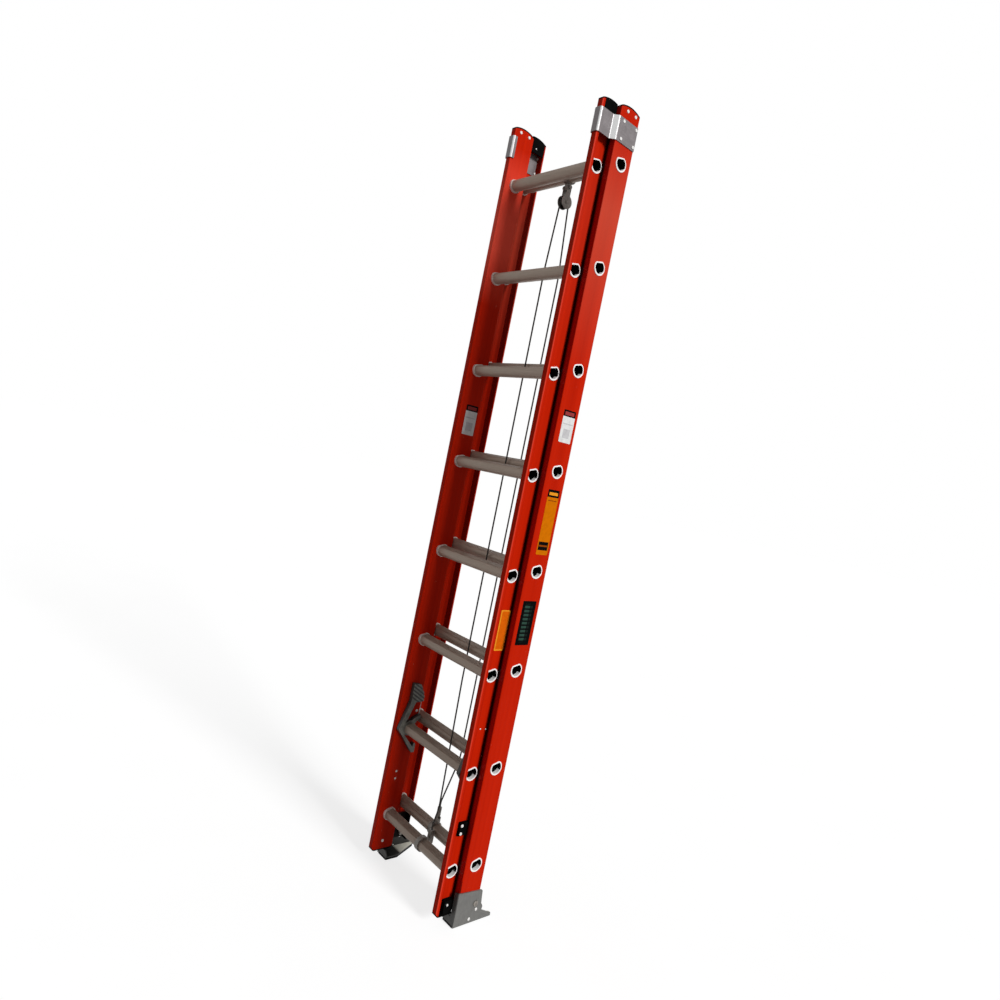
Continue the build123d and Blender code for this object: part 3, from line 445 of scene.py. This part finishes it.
def bore_parts(tree, xyz, web_out, y, first):
    """Two factors for the hollow rungs of a section whose first rung lies at (y, first).

    The first is 1 on the inside of a rung, which is painted in shade; the second is 1 on its floor close to
    the mouth, which is painted lit."""
    from_first = math_node(tree, "SUBTRACT", xyz["Z"], first)
    up = math_node(tree, "WRAP", from_first, RUNG_PITCH / 2, -RUNG_PITCH / 2)
    back = math_node(tree, "SUBTRACT", xyz["Y"], y)
    squares = math_node(tree, "MULTIPLY_ADD", up, up, product(tree, back, back))
    lean = product(tree, back, -math.sin(TREAD_TILT))
    above = math_node(tree, "MULTIPLY_ADD", up, math.cos(TREAD_TILT), lean)
    inside = product(tree, under(tree, squares, RUNG_BORE ** 2), under(tree, above, TREAD_INSIDE))
    mouth = over(tree, absolute(tree, xyz["X"]), web_out + RUNG_END - BORE_LIT_DEPTH)
    lit = product(tree, inside, mouth, under(tree, up, BORE_LIT_BELOW))
    return inside, lit


def rung_metal(name, web_out, y, first):
    """Weathered extrusion, darker towards the floor: bright rolled ends outside the webs, a bore in painted
    shade with a painted lit floor by its mouth.
    """
    mat, tree, shader = tree_of(name)
    at = place(tree)
    xyz = split(tree, at)
    drawn = marks(tree, at, *RUNG_LINES)
    wear_and_highlight = marks(tree, at, *RUNG_WEAR)
    colour = mix(tree, weigh(tree, drawn, 0.4, wear_and_highlight), RUNG_DARK, RUNG_LIGHT)
    # Darker towards the floor
    lower_darkening = product(tree, spread(tree, xyz["Z"], *LOW_RUNG_DARKENING), LOW_RUNG_SHARE)
    colour = mix(tree, lower_darkening, colour, LOW_RUNG_DARK)
    end = over(tree, absolute(tree, xyz["X"]), web_out - END_EDGE)
    inside, lit = bore_parts(tree, xyz, web_out, y, first)
    colour = mix(tree, end, colour, BRIGHT_END_AND_BORE_LIGHT)
    # Painted shade inside the bore, and painted light on its floor by the mouth
    colour = mix(tree, inside, colour, BORE_SHADE)
    colour = mix(tree, lit, colour, BRIGHT_END_AND_BORE_LIGHT)
    plain = inverse(tree, greater(tree, end, inside))
    value(shader.inputs["Base Color"], colour)
    value(shader.inputs["Metallic"], product(tree, plain, 0.25))
    value(shader.inputs["Roughness"], grow(tree, wear_and_highlight, by=0.2, start=0.42))
    value(shader.inputs["Specular IOR Level"], product(tree, plain, 0.4))
    value(shader.inputs["Normal"], bump(tree, drawn, strength=0.08, distance=0.0005))
    return mat


def plastic(name, light, dark, rough):
    """Moulded plastic or rubber with a fine spark grain."""
    mat, tree, shader = tree_of(name)
    at = place(tree)
    clouds = marks(tree, at, *PLASTIC_CLOUDS)
    value(shader.inputs["Base Color"], mix(tree, clouds, dark, light))
    value(shader.inputs["Roughness"], grow(tree, clouds, by=0.15, start=rough))
    value(shader.inputs["Specular IOR Level"], 0.015)
    grain = noise(tree, at, *PLASTIC_GRAIN)
    value(shader.inputs["Normal"], bump(tree, grain, strength=0.15, distance=0.0003))
    return mat


def casting(name):
    """Sand-cast metal: pebbled skin, lighter on the faces that look to the ladder's middle, with painted
    shade on the grooves and sides behind them.
    """
    mat, tree, shader = tree_of(name)
    at = place(tree)
    # Painted shade on the grooves and sides behind the faces that look to the ladder's middle
    wear_and_highlight = under(tree, absolute(tree, split(tree, at)["X"]), LOCK_FACE + SKIN)
    clouds = marks(tree, at, *CAST_CLOUDS)
    colour = mix(tree, wear_and_highlight, mix(tree, clouds, *CAST_HOLLOW_SHADE), mix(tree, clouds, *CAST_FACE))
    value(shader.inputs["Base Color"], colour)
    value(shader.inputs["Metallic"], 0.1)
    value(shader.inputs["Roughness"], 0.55)
    pebbles = noise(tree, at, *CAST_PEBBLES)
    value(shader.inputs["Normal"], bump(tree, pebbles, strength=0.35, distance=0.0008))
    return mat


def braid(name):
    """Dark braided rope: two sets of strands that cross along its length."""
    mat, tree, shader = tree_of(name)
    at = place(tree)
    xyz = split(tree, at)
    rise = product(tree, xyz["Z"], BRAID_TURN)
    lean = product(tree, math_node(tree, "ADD", xyz["X"], xyz["Y"]), BRAID_TURN)
    one = math_node(tree, "SINE", math_node(tree, "ADD", rise, lean))
    two = math_node(tree, "SINE", math_node(tree, "SUBTRACT", rise, lean))
    weave = spread(tree, product(tree, one, two), *BRAID_CONTRAST)
    tone = weigh(tree, weave, 0.6, noise(tree, at, *ROPE_FUZZ))
    value(shader.inputs["Base Color"], mix(tree, tone, *ROPE_TONES))
    value(shader.inputs["Roughness"], 0.85)
    value(shader.inputs["Normal"], bump(tree, weave, strength=0.6, distance=0.0012))
    return mat


def printed(name, draw):
    """A blank stuck-on panel; draw(tree, u, v) gives its colour from the shares of its width and height."""
    mat, tree, shader = tree_of(name)
    uv = split(tree, node(tree, "ShaderNodeTexCoord").outputs["UV"])
    wear = marks(tree, place(tree), *PANEL_WEAR)
    faded = mix(tree, wear, PURE_WHITE, FADED)
    colour = draw(tree, uv["X"], uv["Y"])
    value(shader.inputs["Base Color"], mix(tree, 1.0, colour, faded, "MULTIPLY"))
    value(shader.inputs["Roughness"], grow(tree, wear, by=0.2, start=0.4))
    value(shader.inputs["Specular IOR Level"], 0.01)
    return mat


def panel(name, ground, bars):
    """A panel with plain bars across it; bars holds (low, high, inset, colour) as shares of its size."""
    def draw(tree, u, v):
        colour = ground
        for low, high, inset, tint in bars:
            bar = product(tree, within(tree, v, low, high), within(tree, u, inset, 1.0 - inset))
            colour = mix(tree, bar, colour, tint)
        return colour
    return printed(name, draw)


def rows_panel(name, ground, columns):
    """A panel with a plain frame round even rows of blocks; columns holds (left, right, colour)."""
    def draw(tree, u, v):
        cell = math_node(tree, "FRACT", product(tree, v, ROWS))
        row = product(tree, within(tree, cell, *ROW_BLOCK), within(tree, v, *ROWS_FRAME))
        colour = ground
        for left, right, tint in columns:
            colour = mix(tree, product(tree, row, within(tree, u, left, right)), colour, tint)
        return colour
    return printed(name, draw)


LOOKS = {
    "red_fibreglass": fibreglass("base rail fibreglass", top_light=0.45, tint=SHEEN_RED, rise=TOP_LIGHT_RISE,
                                 finish=base_rail_shade),
    "collar_aluminium": metal("collar aluminium", light=(0.86, 0.80, 0.75), dark=(0.62, 0.57, 0.53),
                              rough=0.45, metallic=0.1, stretch=(60.0, 300.0, 300.0)),
    "black_plastic": plastic("black plastic", light=(0.004, 0.004, 0.004), dark=(0.0015, 0.0015, 0.0015),
                             rough=0.6),
    "bracket_aluminium": metal("bracket aluminium", light=(0.235, 0.210, 0.216), dark=(0.165, 0.147, 0.150),
                               rough=0.34, metallic=0.30, stretch=(30.0, 30.0, 500.0),
                               finish=bend_highlights),
    "rivet_aluminium": metal("rivet aluminium", light=(0.90, 0.89, 0.87), dark=(0.70, 0.68, 0.66),
                             rough=0.4, metallic=0.1, stretch=(300.0, 300.0, 300.0)),
    "lock_casting": casting("lock casting"),
    "spring_steel": metal("spring steel", light=(0.50, 0.49, 0.48), dark=(0.30, 0.29, 0.28),
                          rough=0.35, metallic=0.5, stretch=(200.0, 200.0, 900.0)),
    "zinc_steel": metal("zinc steel", light=(0.42, 0.385, 0.345), dark=(0.11, 0.097, 0.082),
                        rough=0.40, metallic=0.2, stretch=(160.0, 160.0, 160.0)),
    "rope": braid("braided rope"),
    "sheave_plastic": plastic("sheave plastic", light=(0.030, 0.029, 0.028), dark=(0.012, 0.012, 0.012),
                              rough=0.45),
    "shoe_aluminium": metal("shoe aluminium", light=(0.178, 0.176, 0.166), dark=(0.120, 0.118, 0.111),
                            rough=0.48, metallic=0.15, stretch=(40.0, 260.0, 40.0), finish=shoe_shade_and_light),
    "pad_rubber": plastic("pad rubber", light=(0.020, 0.020, 0.020), dark=(0.010, 0.010, 0.010), rough=0.7),
}
RUNG_LOOKS = {
    "fly": rung_metal("fly rung aluminium", FLY_WEB_OUT, FLY_Y, FLY_Z),
    "base": rung_metal("base rung aluminium", BASE_WEB_OUT, BASE_Y, BASE_Z),
}
# The fly rails have their own copies: the right one with little painted light below its top, the left one
# with a strong band of it
OWN_LOOKS = {
    "fly_rail_right": fibreglass("right fly rail fibreglass", top_light=0.08, tint=SHEEN_RED, rise=TOP_LIGHT_RISE,
                                 finish=fly_channel_light_and_shade),
    "fly_rail_left": fibreglass("left fly rail fibreglass", top_light=1.0, tint=LIT_PALE_RED, rise=LEFT_TOP_LIGHT_RISE,
                                finish=fly_channel_light_and_shade),
}


def dress(obj, mat):
    """Gives an object one material."""
    obj.data.materials.clear()
    obj.data.materials.append(mat)


def put(name, data):
    """A new object in the scene."""
    obj = bpy.data.objects.new(name, data)
    scene.collection.objects.link(obj)
    return obj


for part in frame["record"]["subparts"]:
    name = part["node"]
    slot = part["material_slot"]
    if slot == "rung_aluminium":
        dress(nodes[name], RUNG_LOOKS[name.split("_")[0]])
    else:
        dress(nodes[name], OWN_LOOKS.get(name, LOOKS[slot]))


def hoist_piece(name, height, upper):
    """The hoist leg of the rope above or below a height, closed at the cut."""
    mesh = nodes["rope_hoist_leg"].data.copy()
    shape = bmesh.new()
    shape.from_mesh(mesh)
    bmesh.ops.remove_doubles(shape, verts=shape.verts[:], dist=SAME_POINT)
    everything = shape.verts[:] + shape.edges[:] + shape.faces[:]
    cut = bmesh.ops.bisect_plane(shape, geom=everything, plane_co=(0, 0, height), plane_no=(0, 0, 1),
                                 clear_inner=upper, clear_outer=not upper)
    rim = [part for part in cut["geom_cut"] if isinstance(part, bmesh.types.BMEdge)]
    bmesh.ops.edgeloop_fill(shape, edges=rim)
    shape.to_mesh(mesh)
    shape.free()
    obj = put(name, mesh)
    dress(obj, LOOKS["rope"])
    return obj


# The rope's foot rises with the fly section, and the leg above it draws up toward the sheave
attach(hoist_piece("rope_hoist_foot", ROPE_SPLIT_Z, False), "fly")
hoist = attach(hoist_piece("rope_hoist", ROPE_SPLIT_Z + ROPE_SPLIT_GAP, True), "base")
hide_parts("rope_hoist_leg")
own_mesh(hoist)


def sticker(name, body, x, y_range, z_range, mat):
    """A thin panel on a rail's web; depths and heights count from the fly's bottom rung, in millimetres."""
    y0, y1 = [FLY_Y + y / 1000 for y in y_range]
    z0, z1 = [FLY_Z + z / 1000 for z in z_range]
    front, rear = y0 + PANEL_CORNER, y1 - PANEL_CORNER
    bottom, top = z0 + PANEL_CORNER, z1 - PANEL_CORNER
    outline = []
    for cy, cz, start in ((rear, top, 0), (front, top, 90), (front, bottom, 180), (rear, bottom, 270)):
        for step in range(PANEL_ARC_STEPS + 1):
            turn = math.radians(start + 90.0 / PANEL_ARC_STEPS * step)
            outline.append((x, cy + PANEL_CORNER * math.cos(turn), cz + PANEL_CORNER * math.sin(turn)))
    mesh = bpy.data.meshes.new(name)
    mesh.from_pydata(outline, [], [list(range(len(outline)))])
    layer = mesh.uv_layers.new(name="panel")
    for loop in mesh.loops:
        _, y, z = mesh.vertices[loop.vertex_index].co
        layer.data[loop.index].uv = ((y - y0) / (y1 - y0), (z - z0) / (z1 - z0))
    obj = put(name, mesh)
    dress(obj, mat)
    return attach(obj, body)


white_panel = panel("white panel", WHITE, [(0.80, 1.01, 0.0, BLACK), (0.84, 0.95, 0.12, DULL_RED),
                                           (0.56, 0.59, 0.08, PALE_GREY), (0.14, 0.42, 0.22, PALE_GREY)])
amber_panel = panel("amber panel", AMBER, [(0.885, 1.01, 0.0, BLACK), (0.915, 0.96, 0.12, LIGHT_AMBER),
                                           (0.825, 0.84, 0.12, BROWN), (0.07, 0.20, 0.08, BLACK),
                                           (0.125, 0.15, 0.12, BROWN)])
plain_panel = panel("plain panel", LIGHT_AMBER, [(0.03, 0.97, 0.12, DEEP_ORANGE)])
dark_panel = rows_panel("dark panel", BLACK, [(0.20, 0.58, DARK_GREEN), (0.63, 0.78, BLACK_GREEN)])
sticker("panel_white_right", "base", BASE_WEB_OUT + STAND_OFF, (42, 93), (1331, 1428), white_panel)
sticker("panel_orange_base", "base", BASE_WEB_OUT + STAND_OFF, (45, 93), (990, 1188), amber_panel)
sticker("panel_dark", "base", BASE_WEB_OUT + STAND_OFF, (36, 91), (712, 848), dark_panel)
sticker("panel_orange_fly", "fly", FLY_WEB_OUT + STAND_OFF, (-12, 26), (685, 809), plain_panel)
sticker("panel_white_left", "fly", -FLY_WEB_IN + STAND_OFF, (-15, 34), (1307, 1406), white_panel)


def stud(name, body, x, way, y, z):
    """A low domed rivet head that looks along X, to the right or the left, placed as the panels are."""
    points = []
    for reach, rise in STUD_RINGS:
        for step in range(STUD_SIDES):
            turn = math.tau * step / STUD_SIDES
            points.append((x + way * STUD_HEIGHT * rise,
                           FLY_Y + y / 1000 + STUD_RADIUS * reach * math.cos(turn),
                           FLY_Z + z / 1000 + STUD_RADIUS * reach * math.sin(turn)))
    last = len(STUD_RINGS) - 1
    faces = [[ring * STUD_SIDES + step for step in range(STUD_SIDES)] for ring in (0, last)]
    faces[0].reverse()
    for ring in range(last):
        for step in range(STUD_SIDES):
            low, high = ring * STUD_SIDES, (ring + 1) * STUD_SIDES
            after = (step + 1) % STUD_SIDES
            faces.append([low + step, low + after, high + after, high + step])
    if way < 0:
        faces = [face[::-1] for face in faces]
    mesh = bpy.data.meshes.new(name)
    mesh.from_pydata(points, [], faces)
    mesh.shade_smooth()
    obj = put(name, mesh)
    dress(obj, LOOKS["rivet_aluminium"])
    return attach(obj, body)


stud("fly_stud_front", "fly", FLY_WEB_OUT, 1, -0.3, 443.3)
stud("fly_stud_back", "fly", FLY_WEB_OUT, 1, 22.0, 441.0)
stud("cap_stud_left", "base", -BASE_TIP, 1, 65.5, 2287.0)
stud("cap_stud_right", "base", BASE_TIP, -1, 65.5, 2287.0)


def background_rays(tree):
    """1 on rays for which the surroundings are the white background, else 0."""
    path = node(tree, "ShaderNodeLightPath").outputs
    seen = greater(tree, path["Is Camera Ray"], path["Is Glossy Ray"])
    return greater(tree, seen, path["Is Transmission Ray"])


floor_corners = [(FLOOR_REACH * x, FLOOR_REACH * y, 0) for x, y in ((-1, -1), (1, -1), (1, 1), (-1, 1))]
floor_mesh = bpy.data.meshes.new("floor")
floor_mesh.from_pydata(floor_corners, [], [[0, 1, 2, 3]])
floor = put("floor", floor_mesh)
floor.location.z = -FLOOR_DROP
floor_look, floor_tree, floor_shader = tree_of("pale floor")
floor_grain = marks(floor_tree, place(floor_tree), *FLOOR_GRAIN)
floor_colour = mix(floor_tree, floor_grain, *[(tone, tone, tone) for tone in FLOOR_TONES])
floor_light = SUN_STRENGTH * math.sin(SUN_RISE) / math.pi + FILL
floor_glow = product(floor_tree, background_rays(floor_tree), 1.0 - FLOOR_TONES[0] * floor_light)
value(floor_shader.inputs["Base Color"], floor_colour)
value(floor_shader.inputs["Roughness"], 0.9)
value(floor_shader.inputs["Specular IOR Level"], 0.0)
value(floor_shader.inputs["Emission Color"], PURE_WHITE)
value(floor_shader.inputs["Emission Strength"], floor_glow)
dress(floor, floor_look)

world = bpy.data.worlds.new("studio")
scene.world = world
world.use_nodes = True
sky = world.node_tree
back = sky.nodes["Background"]
value(back.inputs["Color"], PURE_WHITE)
value(back.inputs["Strength"], grow(sky, background_rays(sky), by=1.0 - FILL, start=FILL))

sun_data = bpy.data.lights.new("key", "SUN")
sun_data.energy = SUN_STRENGTH
sun_data.angle = SUN_SPREAD
sun = put("key", sun_data)
level = math.cos(SUN_RISE)
toward = Vector((level * math.cos(SUN_TURN), level * math.sin(SUN_TURN), math.sin(SUN_RISE)))
sun.rotation_euler = toward.to_track_quat("Z", "Y").to_euler()

camera_data = bpy.data.cameras.new("camera")
camera_data.sensor_width = SENSOR_WIDTH
camera_data.lens = CAMERA_LENS
camera = put("camera", camera_data)
camera.location = CAMERA_PLACE
camera.rotation_euler = Euler(CAMERA_TURN, "XYZ")
scene.camera = camera
scene.view_settings.view_transform = "Standard"
